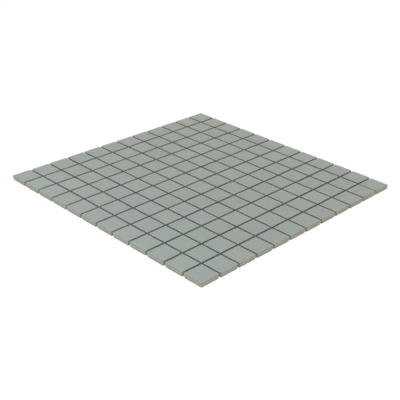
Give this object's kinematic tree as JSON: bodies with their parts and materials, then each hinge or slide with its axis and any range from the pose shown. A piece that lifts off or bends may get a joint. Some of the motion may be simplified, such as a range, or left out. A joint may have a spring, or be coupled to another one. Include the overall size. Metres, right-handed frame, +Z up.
{
  "type": "mosaic tile sheet",
  "caption": "Square sheet of small square matt glazed porcelain mosaic tiles, set in straight rows on a glass fibre backing mesh, for tiling walls and floors.",
  "frame": {"origin": "middle of the sheet's underside, on the plane that the backing mesh rests on", "axes": "+Z up, the way the glazed faces look; +X along the rows of tiles, from row end to row end; +Y across the rows"},
  "size_m": [0.2982, 0.2982, 0.0064],
  "materials": {
    "glazed_porcelain": "matte",
    "glass_mesh": "matte"
  },
  "bodies": {
    "root": {"tile_row_01": "glazed_porcelain", "tile_row_02": "glazed_porcelain", "tile_row_03": "glazed_porcelain", "tile_row_04": "glazed_porcelain", "tile_row_05": "glazed_porcelain", "tile_row_06": "glazed_porcelain", "tile_row_07": "glazed_porcelain", "tile_row_08": "glazed_porcelain", "tile_row_09": "glazed_porcelain", "tile_row_10": "glazed_porcelain", "tile_row_11": "glazed_porcelain", "tile_row_12": "glazed_porcelain", "mesh_warp": "glass_mesh", "mesh_weft": "glass_mesh"}
  },
  "joints": []
}
